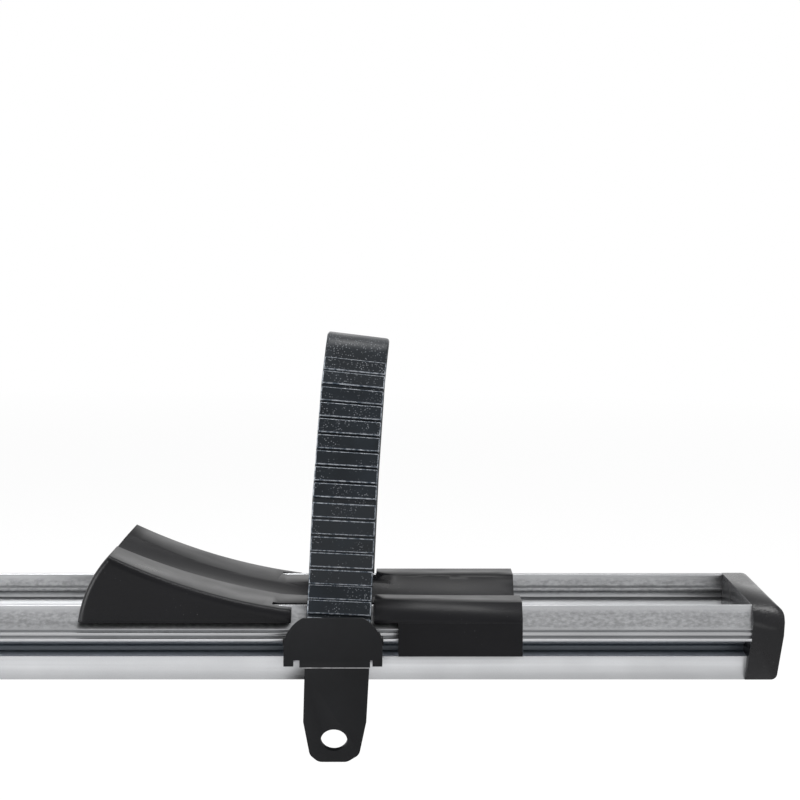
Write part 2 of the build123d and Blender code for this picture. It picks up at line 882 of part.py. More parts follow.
def pivot_bolt():
    """Bolt through both cheeks, with a round head and a hexagonal nut."""
    reach = cheek_inner + cheek_thick
    bolt = rod_y(pivot_radius, -arm_side - reach, -arm_side + reach + pivot_head_height, 0, pivot_height)
    head = rod_y(pivot_head_radius, -arm_side - reach - pivot_head_height, -arm_side - reach, 0,
                 pivot_height)
    face = RegularPolygon(pivot_head_radius - cheek_gap, 6, major_radius=False)
    nut = along_y(Pos(0, pivot_height) * face, -arm_side + reach, -arm_side + reach + pivot_head_height)
    return bolt + head + nut


# Frame holder arm

claw_outer = grip_radius + claw_thick
jaw_rest = grip_height + grip_radius * sin(radians(claw_start_angle))
head_top = grip_height - grip_radius * sin(radians(claw_start_angle))
tube_end = grip_height - tube_end_drop
neck_low = grip_height - neck_drop
knob_top = neck_low - claw_knob_standoff


def arm_tube():
    """Oval aluminium tube."""
    outer = Ellipse(tube_half_length, tube_half_width)
    inner = Ellipse(tube_half_length - tube_wall, tube_half_width - tube_wall)
    return along_z(outer - inner, tube_start, tube_end)


def tube_socket(low, high, start, end):
    """Moulded sleeve round the tube, closed where the tube doesn't reach."""
    outer = Ellipse(tube_half_length + socket_wall, tube_half_width + socket_wall)
    bore = Ellipse(tube_half_length + socket_gap, tube_half_width + socket_gap)
    return along_z(outer, low, high) - along_z(bore, start, end)


def arm_foot():
    """Hub on the pivot with a socket for the tube."""
    half = tube_half_width + socket_wall
    hub = rod_y(foot_hub_radius, -half, half, 0, 0)
    socket = tube_socket(foot_socket_low, foot_socket_high, tube_start, foot_socket_high + overrun)
    return hub + socket - rod_y(pivot_radius + pivot_gap, -half - overrun, half + overrun, 0, 0)


def ring_sector(inner, outer, start, end):
    """Face between two arcs about the grip's middle, in (Y, Z), from one angle to another."""
    middle = (arm_side, grip_height)
    arc_out = CenterArc(middle, outer, start, end - start)
    arc_in = CenterArc(middle, inner, start, end - start)
    edges = arc_out + arc_in + Line(arc_out @ 0, arc_in @ 0) + Line(arc_out @ 1, arc_in @ 1)
    return make_face(edges.edges())


def claw_face(inner, outer):
    """Lower claw's sector; the upper one is its mirror image."""
    return ring_sector(inner, outer, 180 + claw_start_angle, 360 - claw_tip_angle)


def flipped(face):
    """Mirrors a (Y, Z) face about the grip's middle height."""
    return Pos(0, grip_height) * mirror(Pos(0, -grip_height) * face, about=Plane.XZ)


def neck_face():
    """Web between the tube's socket and the lower claw."""
    start = radians(180 + claw_start_angle)
    joint_y = arm_side + claw_outer * cos(start)
    low_angle = radians(180 + claw_start_angle + claw_tip_angle)
    low_y = arm_side + claw_outer * cos(low_angle)
    low_z = grip_height + claw_outer * sin(low_angle)
    web = polygon([
        (-tube_half_width - socket_wall, neck_low),
        (claw_screw_side + claw_nut_radius, neck_low),
        (low_y + claw_thick / 2, low_z),
        (joint_y + claw_thick, head_top),
        (-tube_half_width - socket_wall, head_top),
    ])
    return web - Pos(arm_side, grip_height) * Circle(grip_radius)


def arm_head():
    """Socket, lower claw and the guide post of the sliding claw."""
    socket_low = grip_height - head_socket_drop
    socket = tube_socket(socket_low, neck_low + overrun, socket_low - overrun, tube_end + running_gap)
    claw = along_x(claw_face(grip_radius, claw_outer) + neck_face(), -claw_half, claw_half)
    claw = fillet(claw.edges().filter_by(Axis.X).sort_by(Axis.Y)[-2:], claw_round)
    post = block(-post_half, post_half, -post_left, post_right, neck_low, grip_height + post_rise)
    bore = rod_z(claw_screw_radius + screw_gap, neck_low - overrun, head_top + overrun, 0, claw_screw_side)
    return socket + claw + post - bore


def upper_claw():
    """Sliding claw: sleeve on the post, nut boss on the screw, and the curved jaw."""
    left = -post_left - sleeve_wall
    top = jaw_rest + sleeve_length
    start = radians(180 - claw_start_angle)
    joint_y = arm_side + claw_outer * cos(start)
    high_angle = radians(180 - claw_start_angle - claw_tip_angle)
    high_y = arm_side + claw_outer * cos(high_angle)
    high_z = grip_height + claw_outer * sin(high_angle)
    body = polygon([
        (left, jaw_rest),
        (joint_y + claw_thick, jaw_rest),
        (high_y + claw_thick / 2, high_z),
        (claw_screw_side + claw_nut_radius, top),
        (left, top),
    ])
    body -= Pos(arm_side, grip_height) * Circle(grip_radius)
    face = body + flipped(claw_face(grip_radius, claw_outer))
    claw = along_x(face, -claw_half, claw_half)
    claw = fillet(claw.edges().filter_by(Axis.X).sort_by(Axis.Y)[-2:], claw_round)
    side = post_half + post_gap
    hole = block(-side, side, -post_left - post_gap, post_right + post_gap, jaw_rest - overrun,
                 top + overrun)
    bore = rod_z(claw_screw_radius + screw_gap, jaw_rest - overrun, top + overrun, 0, claw_screw_side)
    return claw - hole - bore


def lower_grip_pad():
    """Rubber lining of the lower claw."""
    face = claw_face(grip_radius - grip_pad_thick, grip_radius)
    return along_x(face, -grip_pad_half, grip_pad_half)


def upper_grip_pad():
    """Rubber lining of the upper claw."""
    face = flipped(claw_face(grip_radius - grip_pad_thick, grip_radius))
    return along_x(face, -grip_pad_half, grip_pad_half)


def claw_screw():
    """Screw that moves the upper claw."""
    low = knob_top - knob_hub_length - claw_knob_depth / 2
    return rod_z(claw_screw_radius, low, grip_height + claw_screw_rise, 0, claw_screw_side)


def claw_knob():
    """Star knob below the lower claw."""
    knob = star_knob(claw_knob_radius, claw_knob_depth, claw_knob_notch_place, claw_knob_notch_radius,
                     knob_hub_radius, knob_hub_length, claw_screw_radius)
    return Pos(0, claw_screw_side, knob_top - knob_hub_length) * Rot(180, 0, 0) * knob


def frame_arm():
    """All the pieces of the leaning arm."""
    place = Pos(0, -arm_side, pivot_height) * Rot(0, arm_lean, 0)
    save("arm_foot", place * arm_foot())
    save("arm_tube", place * arm_tube())
    save("arm_head", place * arm_head())
    save("lower_grip_pad", place * lower_grip_pad())
    save("upper_claw", place * upper_claw())
    save("upper_grip_pad", place * upper_grip_pad())
    save("claw_screw", place * claw_screw())
    save("claw_knob", place * claw_knob())


# Whole carrier

def wheel_holder(name, strap_x, turned):
    """Cradle, strap, buckle and anchor of one wheel; a turned one is the mirror image."""
    pieces = {
        "_cradle": wheel_cradle(),
        "_strap": ladder_strap(),
        "_buckle_base": slot_bracket(pin_side, pin_height),
        "_buckle_pin": hinge_pin(pin_side, pin_height),
        "_buckle_lever": buckle_lever(),
        "_strap_anchor": mirror(slot_bracket(eye_side, eye_height), about=Plane.XZ),
        "_anchor_pin": mirror(hinge_pin(eye_side, eye_height), about=Plane.XZ),
    }
    for suffix, solid in pieces.items():
        if turned:
            solid = mirror(solid, about=Plane.YZ)
        save(name + suffix, Pos(strap_x, 0, rail_base) * solid)


def rail_and_caps():
    """The rail with a cap on each end."""
    lift = Pos(0, 0, rail_base)
    middle = (rail_front + rail_rear) / 2
    cap = end_cap()
    save("wheel_rail", lift * wheel_rail())
    save("rear_end_cap", lift * cap)
    save("front_end_cap", lift * mirror(cap, about=Plane.YZ.offset(middle)))


rail_and_caps()
wheel_holder("rear", rear_contact - strap_to_contact, False)
wheel_holder("front", front_contact + strap_to_contact, True)
crossbar_foot("front", 0, shelf_reach)
crossbar_foot("rear", crossbar_spacing, saddle_width_half)
save("arm_base", arm_base())
save("arm_base_screws", *base_screws())
save("arm_pivot_bolt", pivot_bolt())
frame_arm()
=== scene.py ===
import json
import math

import bmesh
import bpy
from mathutils import Euler, Matrix, Vector


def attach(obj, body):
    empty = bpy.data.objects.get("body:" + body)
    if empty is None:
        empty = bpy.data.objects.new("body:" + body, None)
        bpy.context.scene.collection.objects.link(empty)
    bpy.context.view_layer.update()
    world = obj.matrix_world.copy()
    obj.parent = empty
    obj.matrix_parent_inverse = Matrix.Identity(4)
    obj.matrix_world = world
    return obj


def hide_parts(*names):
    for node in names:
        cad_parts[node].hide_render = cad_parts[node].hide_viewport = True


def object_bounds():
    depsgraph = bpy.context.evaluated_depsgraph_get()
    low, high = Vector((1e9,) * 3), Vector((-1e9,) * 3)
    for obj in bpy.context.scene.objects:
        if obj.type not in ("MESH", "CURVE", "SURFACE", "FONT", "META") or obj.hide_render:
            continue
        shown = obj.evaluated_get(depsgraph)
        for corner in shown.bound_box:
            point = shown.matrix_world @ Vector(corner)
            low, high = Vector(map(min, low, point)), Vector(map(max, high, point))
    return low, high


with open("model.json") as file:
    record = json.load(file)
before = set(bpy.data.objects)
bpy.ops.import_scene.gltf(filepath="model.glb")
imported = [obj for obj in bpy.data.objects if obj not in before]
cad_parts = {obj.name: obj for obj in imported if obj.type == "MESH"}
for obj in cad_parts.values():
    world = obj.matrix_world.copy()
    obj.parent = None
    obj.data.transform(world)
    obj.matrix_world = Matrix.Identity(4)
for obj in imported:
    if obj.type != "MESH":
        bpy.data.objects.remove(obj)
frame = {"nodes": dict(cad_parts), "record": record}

cad_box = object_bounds()

MM = 0.001

# Camera and image, in metres and pixels
CAMERA_PLACE = (0.857, -0.738, 0.170)
CAMERA_PITCH = 3.92
IMAGE_WIDTH = 800
FOCAL_PIXELS = 2400
SENSOR = 36.0

# Studio: strengths, sizes in metres, and lamps as place, size and power in watts
WORLD_STRENGTH = 0.7
WORLD_LOW = (0.42, 0.42, 0.43, 1)
WORLD_HIGH = (0.95, 0.95, 0.95, 1)
WORLD_HEIGHTS = (-0.4, 1.0)
FLOOR_HALF = 6.0
FLOOR_TONE = 0.9
FLOOR_CENTRE = (0.3, 0)
FLOOR_FADE = (0.9, 2.6, 0.84, 1.0)
TARGET = (0.86, 0, 0.06)
LAMPS = {
    "top_box": ((0.8, 0.2, 1.5), (1.2, 0.45), 15),
    "front_box": ((0.7, -1.9, 0.12), (2.2, 0.5), 6),
    "right_box": ((2.0, -0.1, 0.6), (0.4, 0.5), 4),
    "left_box": ((-0.4, -0.3, 0.4), (0.5, 0.6), 16),
}

# Finishes: linear colours
ALUMINIUM = (0.385, 0.39, 0.40)
MOULDING = (0.0065, 0.0065, 0.0075)
STRAP = (0.005, 0.0075, 0.0105)
COATING = (0.0075, 0.0078, 0.0088)
ZINC = (0.30, 0.30, 0.32)
RUBBER = (0.013, 0.013, 0.013)
CASTING = (0.014, 0.014, 0.016)
KNOB = (0.010, 0.010, 0.011)

# Painted shade: a darker, mottled strip on the tray's shoulders, as heights in millimetres
SHADE_STRIP_LOW = 55.3
SHADE_STRIP_HIGH = 58.6

# Side slots of the tray, in millimetres, and the painted shade inside them, darkest at the back and lighter
# towards the mouth
SLOT_FACE = 29.9
SLOT_BACK = 22.3
SLOT_LOW = 45.05
SLOT_HIGH = 50.8
SLOT_SHADE_DEEP = (0.055, 0.070, 0.088)
SLOT_SHADE_MOUTH = (0.75, 0.78, 0.84)

# Ladder straps, in millimetres: the line from the buckle over tyre and rim to the far anchor,
# as side and height about the holder, and the sizes of band and rungs
STRAP_NEAR = ((40, 10.4), (40, 17.2), (34.6, 26.6), (33, 38), (33, 54), (18.5, 87), (9.5, 99.8))
STRAP_FAR_FOOT = (40.9, 15)
HOLDER_BASE = 38.0
HOLDERS = {"rear": (837.5, 1.0), "front": (-234.5, -1.0)}
STRAP_SIZES = {
    "Bend Radius": 8.0, "Band Width": 19.0, "Band Thickness": 3.0, "Band Round": 0.8,
    "Rung Pitch": 5.0, "First Rung": 2.1, "Rung Length": 4.3, "Rung Width": 18.7, "Rung Height": 1.0,
    "Foot Height": 17.2, "Lean Height": 82.6, "Foot Shift": 1.4,
    "Eye Radius": 3.5, "Eye Bore": 1.55, "Eye Side": 43.0, "Eye Height": 13.5, "Eye Width": 19.4,
}
STRAP_EDGE = 0.3
STRAP_EDGE_ANGLE = 40
STRAP_RUNGS = {"Rung Count": 18, "Full Rungs": 14}
STRAP_ANGLES = {"Foot Lean": 2.6, "Top Lean": 7.0}

# Rounded edges: steps across each, and the least angle in degrees that counts as an edge
EDGE_SEGMENTS = 2
EDGE_ANGLE = 32

# Corners and faces of the solids' meshes that are merged first, in millimetres and degrees
MERGE_GAP = 0.002
FLAT_ANGLE = 0.6

# Painted highlight: a bright line along the levers' bend, as heights in millimetres
BEND_LOW = 44.72
BEND_HIGH = 44.86
BEND_HIGHLIGHT = (0.40, 0.40, 0.41)

# Threaded rods, in millimetres: two-start threads that stop short of the rod's ends, with the profile
# as radius and share of the pitch
THREAD_OUTER = 4.0
THREAD_CORE = 3.3
THREAD_SINK = 0.1
THREAD_STOP = 0.8
THREAD_STARTS = 2
THREAD_PROFILE = ((THREAD_CORE - THREAD_SINK, -0.42), (THREAD_OUTER, -0.1),
                  (THREAD_OUTER, 0.1), (THREAD_CORE - THREAD_SINK, 0.42))
THREAD_TURN_STEPS = 24
CORE_SIDES = 40
CLAMP_LEAD = 4.0
CLAW_LEAD = 5.0

# Where the screws are, in millimetres and degrees
CROSSBARS = {"front": 0.0, "rear": 650.0}
SCREW_HEIGHT = 14.0
SCREW_REACH = 74.0
SCREW_LENGTH = 112.0
ARM_PIVOT = (0.0, -86.0, 62.0)
ARM_LEAN = 28.0
CLAW_SCREW_SIDE = 34.0
CLAW_SCREW_LOW = 413.0
CLAW_SCREW_LENGTH = 132.0


# Materials

RANGE_KEYS = ("From Min", "From Max", "To Min", "To Max")


class Finish:
    """A material with the node steps that these finishes share."""

    def __init__(self, name, colour, roughness, metallic=0.0):
        self.material = bpy.data.materials.new(name)
        self.material.use_nodes = True
        tree = self.material.node_tree
        self.nodes = tree.nodes
        self.links = tree.links
        self.shader = self.nodes["Principled BSDF"]
        self.shader.inputs["Base Color"].default_value = (*colour, 1)
        self.shader.inputs["Roughness"].default_value = roughness
        self.shader.inputs["Metallic"].default_value = metallic
        self.place = self.nodes.new("ShaderNodeTexCoord").outputs["Object"]

    def noise(self, scale, detail=3.0, stretch=(1, 1, 1)):
        """Noise on the piece's own coordinates, drawn out along an axis by stretch."""
        mapping = self.nodes.new("ShaderNodeMapping")
        mapping.inputs["Scale"].default_value = stretch
        self.links.new(self.place, mapping.inputs["Vector"])
        texture = self.nodes.new("ShaderNodeTexNoise")
        texture.inputs["Scale"].default_value = scale
        texture.inputs["Detail"].default_value = detail
        self.links.new(mapping.outputs["Vector"], texture.inputs["Vector"])
        return texture.outputs["Fac"]

    def cells(self, scale):
        """Distance to the nearest point of a scatter."""
        texture = self.nodes.new("ShaderNodeTexVoronoi")
        texture.inputs["Scale"].default_value = scale
        self.links.new(self.place, texture.inputs["Vector"])
        return texture.outputs["Distance"]

    def span(self, source, low_in, high_in, low_out, high_out):
        """Source mapped from one range to another, held at the ends."""
        node = self.nodes.new("ShaderNodeMapRange")
        for key, value in zip(RANGE_KEYS, (low_in, high_in, low_out, high_out)):
            node.inputs[key].default_value = value
        self.links.new(source, node.inputs["Value"])
        return node.outputs["Result"]

    def blend(self, factor, first, second):
        """Colour between two, by factor."""
        node = self.nodes.new("ShaderNodeMix")
        node.data_type = "RGBA"
        self.links.new(factor, node.inputs["Factor"])
        for socket, value in (("A", first), ("B", second)):
            target = [i for i in node.inputs if i.name == socket and i.type == "RGBA"][0]
            if isinstance(value, tuple):
                target.default_value = (*value, 1)
            else:
                self.links.new(value, target)
        return [o for o in node.outputs if o.type == "RGBA"][0]

    def calc(self, operation, *sources):
        """Values worked together."""
        node = self.nodes.new("ShaderNodeMath")
        node.operation = operation
        for socket, source in zip(node.inputs, sources):
            self.links.new(source, socket)
        return node.outputs["Value"]

    def product(self, first, second):
        """Two values multiplied."""
        return self.calc("MULTIPLY", first, second)

    def axis(self, name):
        """One of the piece's own coordinates."""
        node = self.nodes.new("ShaderNodeSeparateXYZ")
        self.links.new(self.place, node.inputs["Vector"])
        return node.outputs[name]

    def between(self, source, low, high, soft):
        """One where the source lies between two values, fading over a soft edge."""
        return self.product(self.span(source, low - soft, low, 0, 1), self.span(source, high, high + soft, 1, 0))

    def bump(self, height, distance, strength=1.0, over=None):
        """Bump from a height, over an earlier bump."""
        node = self.nodes.new("ShaderNodeBump")
        node.inputs["Distance"].default_value = distance
        node.inputs["Strength"].default_value = strength
        self.links.new(height, node.inputs["Height"])
        if over is not None:
            self.links.new(over, node.inputs["Normal"])
        return node.outputs["Normal"]

    def gloss(self, level):
        """How strongly the surface mirrors head on."""
        self.shader.inputs["Specular IOR Level"].default_value = level
        return self

    def use(self, colour=None, roughness=None, normal=None):
        """Joins results to the shader."""
        for key, value in (("Base Color", colour), ("Roughness", roughness), ("Normal", normal)):
            if value is not None:
                self.links.new(value, self.shader.inputs[key])
        return self.material


def scaled(colour, factor):
    """A colour made lighter or darker."""
    return tuple(c * factor for c in colour)


def anodised(name, stretch):
    """Satin anodised extrusion: fine grain, faint die lines along its length, a painted shade strip on the
    shoulders, and painted shade inside the side slots.
    """
    finish = Finish(name, ALUMINIUM, 0.42, 1.0)
    lines = finish.noise(1500, 4, stretch)
    cloud = finish.noise(60, 3)
    grain = finish.noise(3200, 2)
    colour = finish.blend(finish.span(cloud, 0.3, 0.7, 0, 1), scaled(ALUMINIUM, 0.95), scaled(ALUMINIUM, 1.05))
    frost = finish.span(grain, 0.35, 0.65, 0, 0.16)
    colour = finish.blend(frost, colour, scaled(ALUMINIUM, 0.62))
    # Painted shade: a darker, mottled strip on the shoulders stands in for the darker reflection there
    shoulder_shade = finish.between(finish.axis("Z"), SHADE_STRIP_LOW * MM, SHADE_STRIP_HIGH * MM, 1.4 * MM)
    shoulder_shade = finish.product(shoulder_shade, finish.span(finish.noise(1100, 3, (0.6, 1, 1)), 0.32, 0.68, 0.2, 1))
    colour = finish.blend(finish.span(shoulder_shade, 0, 1, 0, 0.75), colour, scaled(ALUMINIUM, 0.45))
    side = finish.calc("ABSOLUTE", finish.axis("Y"))
    # Painted shade: the side slots are painted dark inside, darkest at the back and lighter towards the mouth,
    # and made less metallic there
    inside = finish.between(side, SLOT_BACK * MM, (SLOT_FACE - 0.1) * MM, 0.1 * MM)
    inside = finish.product(inside, finish.between(finish.axis("Z"), SLOT_LOW * MM, SLOT_HIGH * MM, 0.1 * MM))
    slot_shade = finish.blend(finish.span(side, 23.5 * MM, SLOT_FACE * MM, 0, 1), SLOT_SHADE_DEEP, SLOT_SHADE_MOUTH)
    colour = finish.blend(inside, colour, slot_shade)
    finish.links.new(finish.span(inside, 0, 1, 1, 0.2), finish.shader.inputs["Metallic"])
    rough = finish.span(lines, 0.3, 0.7, 0.30, 0.38)
    normal = finish.bump(lines, 0.0012 * MM, 0.5)
    normal = finish.bump(grain, 0.0015 * MM, 0.6, normal)
    return finish.use(colour, rough, normal)


def moulded(name, colour, grain_scale=1700, roughness=0.33, shine=0.10, grain_depth=0.035):
    """Black moulded plastic with a fine spark-eroded grain, faint scuffs and dust."""
    finish = Finish(name, colour, roughness).gloss(shine)
    grain = finish.noise(grain_scale, 2)
    cloud = finish.noise(45, 4)
    dust = finish.span(finish.cells(900), 0.05, 0.12, 1, 0)
    sparse = finish.span(finish.noise(140, 2), 0.58, 0.72, 0, 1)
    specks = finish.product(dust, sparse)
    base = finish.blend(finish.span(cloud, 0.3, 0.7, 0, 1), scaled(colour, 0.8), scaled(colour, 1.35))
    tone = finish.blend(finish.span(specks, 0, 1, 0, 0.35), base, (0.25, 0.25, 0.26))
    rough = finish.span(cloud, 0.3, 0.7, roughness - 0.07, roughness + 0.08)
    return finish.use(tone, rough, finish.bump(grain, grain_depth * MM, 0.8))


def powder_coated(name, colour):
    """Powder-coated steel: fine orange peel and small tone changes."""
    finish = Finish(name, colour, 0.5).gloss(0.16)
    peel = finish.noise(1500, 2)
    cloud = finish.noise(70, 3)
    tone = finish.blend(finish.span(cloud, 0.3, 0.7, 0, 1), scaled(colour, 0.85), scaled(colour, 1.25))
    rough = finish.span(cloud, 0.3, 0.7, 0.46, 0.58)
    return finish.use(tone, rough, finish.bump(peel, 0.012 * MM, 0.8))


def zinc_plated(name):
    """Zinc-plated steel with turning marks and dull patches."""
    finish = Finish(name, ZINC, 0.35, 1.0)
    cloud = finish.noise(220, 4)
    fine = finish.noise(3000, 2)
    tone = finish.blend(finish.span(cloud, 0.3, 0.7, 0, 1), scaled(ZINC, 0.8), scaled(ZINC, 1.1))
    rough = finish.span(cloud, 0.3, 0.7, 0.28, 0.45)
    return finish.use(tone, rough, finish.bump(fine, 0.004 * MM, 0.6))


def soft_rubber(name):
    """Matte rubber with a dusty, pitted surface."""
    finish = Finish(name, RUBBER, 0.8).gloss(0.2)
    pits = finish.noise(1800, 3)
    cloud = finish.noise(60, 3)
    tone = finish.blend(finish.span(cloud, 0.3, 0.7, 0, 1), scaled(RUBBER, 0.8), scaled(RUBBER, 1.6))
    rough = finish.span(cloud, 0.3, 0.7, 0.72, 0.88)
    return finish.use(tone, rough, finish.bump(pits, 0.03 * MM, 0.8))


def strap_plastic(name):
    """Flexible strap plastic: blue-black, slightly glossy, with dust in the surface."""
    finish = Finish(name, STRAP, 0.36).gloss(0.2)
    cloud = finish.noise(90, 4)
    fine = finish.noise(2200, 2)
    dust = finish.span(finish.cells(1500), 0.16, 0.30, 1, 0)
    high = finish.span(finish.axis("Z"), 0.095, 0.135, 0.0, 0.16)
    sparse = finish.calc("ADD", finish.noise(160, 3), high)
    specks = finish.product(dust, finish.span(sparse, 0.52, 0.66, 0, 1))
    base = finish.blend(finish.span(cloud, 0.3, 0.7, 0, 1), scaled(STRAP, 0.75), scaled(STRAP, 1.4))
    tone = finish.blend(finish.span(specks, 0, 1, 0, 0.7), base, (0.22, 0.23, 0.25))
    rough = finish.span(cloud, 0.3, 0.7, 0.3, 0.44)
    return finish.use(tone, rough, finish.bump(fine, 0.012 * MM, 0.6))


def painted_edge_highlight(name, colour, highlight_tone):
    """Painted highlight on bevelled edges: broken patches of a lighter tone over the piece's own."""
    finish = Finish(name, highlight_tone, 0.5).gloss(0.3)
    patches = finish.noise(700, 3)
    fine = finish.noise(3500, 2)
    mixed = finish.calc("ADD", patches, finish.span(fine, 0.3, 0.7, -0.15, 0.15))
    tone = finish.blend(finish.span(mixed, 0.36, 0.62, 0, 1), colour, highlight_tone)
    return finish.use(tone, None, finish.bump(fine, 0.01 * MM, 0.5))


def lever_coating(name):
    """Coated sheet steel, with a painted highlight along the bend."""
    finish = Finish(name, COATING, 0.45).gloss(0.12)
    peel = finish.noise(1500, 2)
    cloud = finish.noise(70, 3)
    tone = finish.blend(finish.span(cloud, 0.3, 0.7, 0, 1), scaled(COATING, 0.85), scaled(COATING, 1.25))
    # Painted highlight: a bright, broken line along the bend stands in for the glint on the curl
    bend = finish.between(finish.axis("Z"), BEND_LOW * MM, BEND_HIGH * MM, 0.05 * MM)
    highlight_breaks = finish.span(finish.noise(420, 3, (1, 1, 0.2)), 0.3, 0.5, 0.35, 1)
    tone = finish.blend(finish.product(bend, highlight_breaks), tone, BEND_HIGHLIGHT)
    rough = finish.span(cloud, 0.3, 0.7, 0.46, 0.58)
    return finish.use(tone, rough, finish.bump(peel, 0.012 * MM, 0.8))


CAP_PLASTIC = moulded("cap_plastic", MOULDING, 900, 0.25, 0.22, 0.12)
PIN_COATING = powder_coated("pin_coating", COATING)
FINISHES = {
    "anodised_aluminium": anodised("anodised_tray", (0.006, 1, 1)),
    "black_moulding": moulded("black_moulding", MOULDING),
    "strap": strap_plastic("strap_plastic"),
    "coated_steel": lever_coating("coated_steel"),
    "zinc_steel": zinc_plated("zinc_steel"),
    "rubber": soft_rubber("seat_rubber"),
    "coated_casting": powder_coated("coated_casting", CASTING),
    "knob": moulded("knob_plastic", KNOB, 1900, 0.5),
}
# Painted highlight: lighter tones on the bevelled edges stand in for the light that the edges catch
EDGE_HIGHLIGHTS = {
    "strap": painted_edge_highlight("edge_highlight_strap", scaled(STRAP, 6), (0.30, 0.32, 0.35)),
    "coated_steel": painted_edge_highlight("edge_highlight_coating", COATING, (0.06, 0.06, 0.065)),
    "black_moulding": painted_edge_highlight("edge_highlight_moulding", MOULDING, (0.035, 0.035, 0.038)),
    "coated_casting": painted_edge_highlight("edge_highlight_casting", CASTING, (0.05, 0.05, 0.055)),
}
NODE_SLOTS = {s["node"]: s["material_slot"] for s in frame["record"]["subparts"]}
NODE_BODIES = {n: b for b, nodes in frame["record"]["behaviour"]["bodies"].items() for n in nodes}


# Pieces that refine a CAD node

def add_object(name, mesh):
    """New object at the origin."""
    piece = bpy.data.objects.new(name, mesh)
    bpy.context.scene.collection.objects.link(piece)
    return piece


def shade_smooth(mesh):
    """Every face shaded smooth."""
    for face in mesh.polygons:
        face.use_smooth = True


def carry(piece, node):
    """The piece rides on the node's body, takes its finish and stands in for it."""
    slot = NODE_SLOTS[node]
    if not piece.data.materials:
        piece.data.materials.append(FINISHES[slot])
    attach(piece, NODE_BODIES[node])
    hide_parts(node)


def refined(node, edge, crease=EDGE_ANGLE):
    """A node's own shape with its edges rounded and its curved faces shaded smooth."""
    mesh = frame["nodes"][node].data.copy()
    mesh.materials.clear()
    shape = bmesh.new()
    shape.from_mesh(mesh)
    bmesh.ops.remove_doubles(shape, verts=shape.verts, dist=MERGE_GAP * MM)
    bmesh.ops.dissolve_limit(shape, angle_limit=math.radians(FLAT_ANGLE), verts=shape.verts, edges=shape.edges)
    shape.to_mesh(mesh)
    shape.free()
    piece = add_object(node + "_finished", mesh)
    if node.endswith("cap"):
        mesh.materials.append(CAP_PLASTIC)
    rounded(piece, NODE_SLOTS[node], edge, crease)
    carry(piece, node)


# Pieces that Geometry Nodes make

class ShapeTree:
    """A Geometry Nodes tree whose sizes are named inputs."""

    def __init__(self, name, sizes):
        self.sizes = sizes
        self.tree = bpy.data.node_groups.new(name, "GeometryNodeTree")
        sockets = self.tree.interface
        sockets.new_socket("Start", in_out="INPUT", socket_type="NodeSocketGeometry")
        sockets.new_socket("Shape", in_out="OUTPUT", socket_type="NodeSocketGeometry")
        self.keys = {}
        for key, value in sizes.items():
            kind = "NodeSocketInt" if isinstance(value, int) else "NodeSocketFloat"
            self.keys[key] = sockets.new_socket(key, in_out="INPUT", socket_type=kind).identifier
        self.given = self.tree.nodes.new("NodeGroupInput").outputs

    def step(self, kind, *inputs, **settings):
        """New node; inputs fill its sockets in order, and None skips one."""
        node = self.tree.nodes.new(kind)
        for key, value in settings.items():
            setattr(node, key, value)
        for socket, value in zip([i for i in node.inputs if i.enabled], inputs):
            if isinstance(value, bpy.types.NodeSocket):
                self.tree.links.new(value, socket)
            elif value is not None:
                socket.default_value = value
        return node.outputs

    def node(self, kind, *inputs, **settings):
        """First output of a new node."""
        return self.step(kind, *inputs, **settings)[0]

    def calc(self, operation, *values):
        """Values worked together."""
        return self.node("ShaderNodeMath", *values, operation=operation)

    def join(self, *shapes):
        """Several shapes as one."""
        joined = self.tree.nodes.new("GeometryNodeJoinGeometry")
        for shape in reversed(shapes):
            self.tree.links.new(shape, joined.inputs[0])
        return joined.outputs[0]

    def made(self, start, result, material):
        """The tree's result on a start mesh, as a plain mesh with its faces outward."""
        result = self.node("GeometryNodeRealizeInstances", result)
        result = self.node("GeometryNodeSetMaterial", result, None, material)
        self.tree.links.new(result, self.tree.nodes.new("NodeGroupOutput").inputs[0])
        piece = add_object("start", start)
        modifier = piece.modifiers.new("shape", "NODES")
        modifier.node_group = self.tree
        for key, value in self.sizes.items():
            modifier[self.keys[key]] = value
        graph = bpy.context.evaluated_depsgraph_get()
        mesh = bpy.data.meshes.new_from_object(piece.evaluated_get(graph))
        bpy.data.objects.remove(piece)
        mesh.materials.clear()
        mesh.materials.append(material)
        shape = bmesh.new()
        shape.from_mesh(mesh)
        bmesh.ops.remove_doubles(shape, verts=shape.verts, dist=0.001 * MM)
        bmesh.ops.recalc_face_normals(shape, faces=shape.faces)
        shape.to_mesh(mesh)
        shape.free()
        return mesh


def metres(sizes):
    """Sizes in millimetres, turned to metres."""
    return {key: value * MM for key, value in sizes.items()}


def rounded(piece, slot, edge, crease, clamp=True):
    """Edges of a piece rounded, with a painted highlight on them where the finish has one, and its faces shaded
    smooth between them.
    """
    shade_smooth(piece.data)
    if not piece.data.materials:
        piece.data.materials.append(FINISHES[slot])
    bevel = piece.modifiers.new("edges", "BEVEL")
    bevel.width = edge
    bevel.segments = EDGE_SEGMENTS
    bevel.limit_method = "ANGLE"
    bevel.angle_limit = math.radians(crease)
    bevel.harden_normals = True
    bevel.use_clamp_overlap = clamp
    # Painted highlight on the bevel faces, for finishes that have one
    if slot in EDGE_HIGHLIGHTS:
        piece.data.materials.append(EDGE_HIGHLIGHTS[slot])
        bevel.material = 1


def strap_line():
    """Corners of the strap's line joined by edges, about the middle of its holder."""
    near = [(0, -side * MM, height * MM) for side, height in STRAP_NEAR]
    far = [(0, -y, z) for x, y, z in near[:1:-1]]
    points = near + far + [(0, STRAP_FAR_FOOT[0] * MM, STRAP_FAR_FOOT[1] * MM)]
    mesh = bpy.data.meshes.new("strap_line")
    mesh.from_pydata(points, [(i, i + 1) for i in range(len(points) - 1)], [])
    return mesh


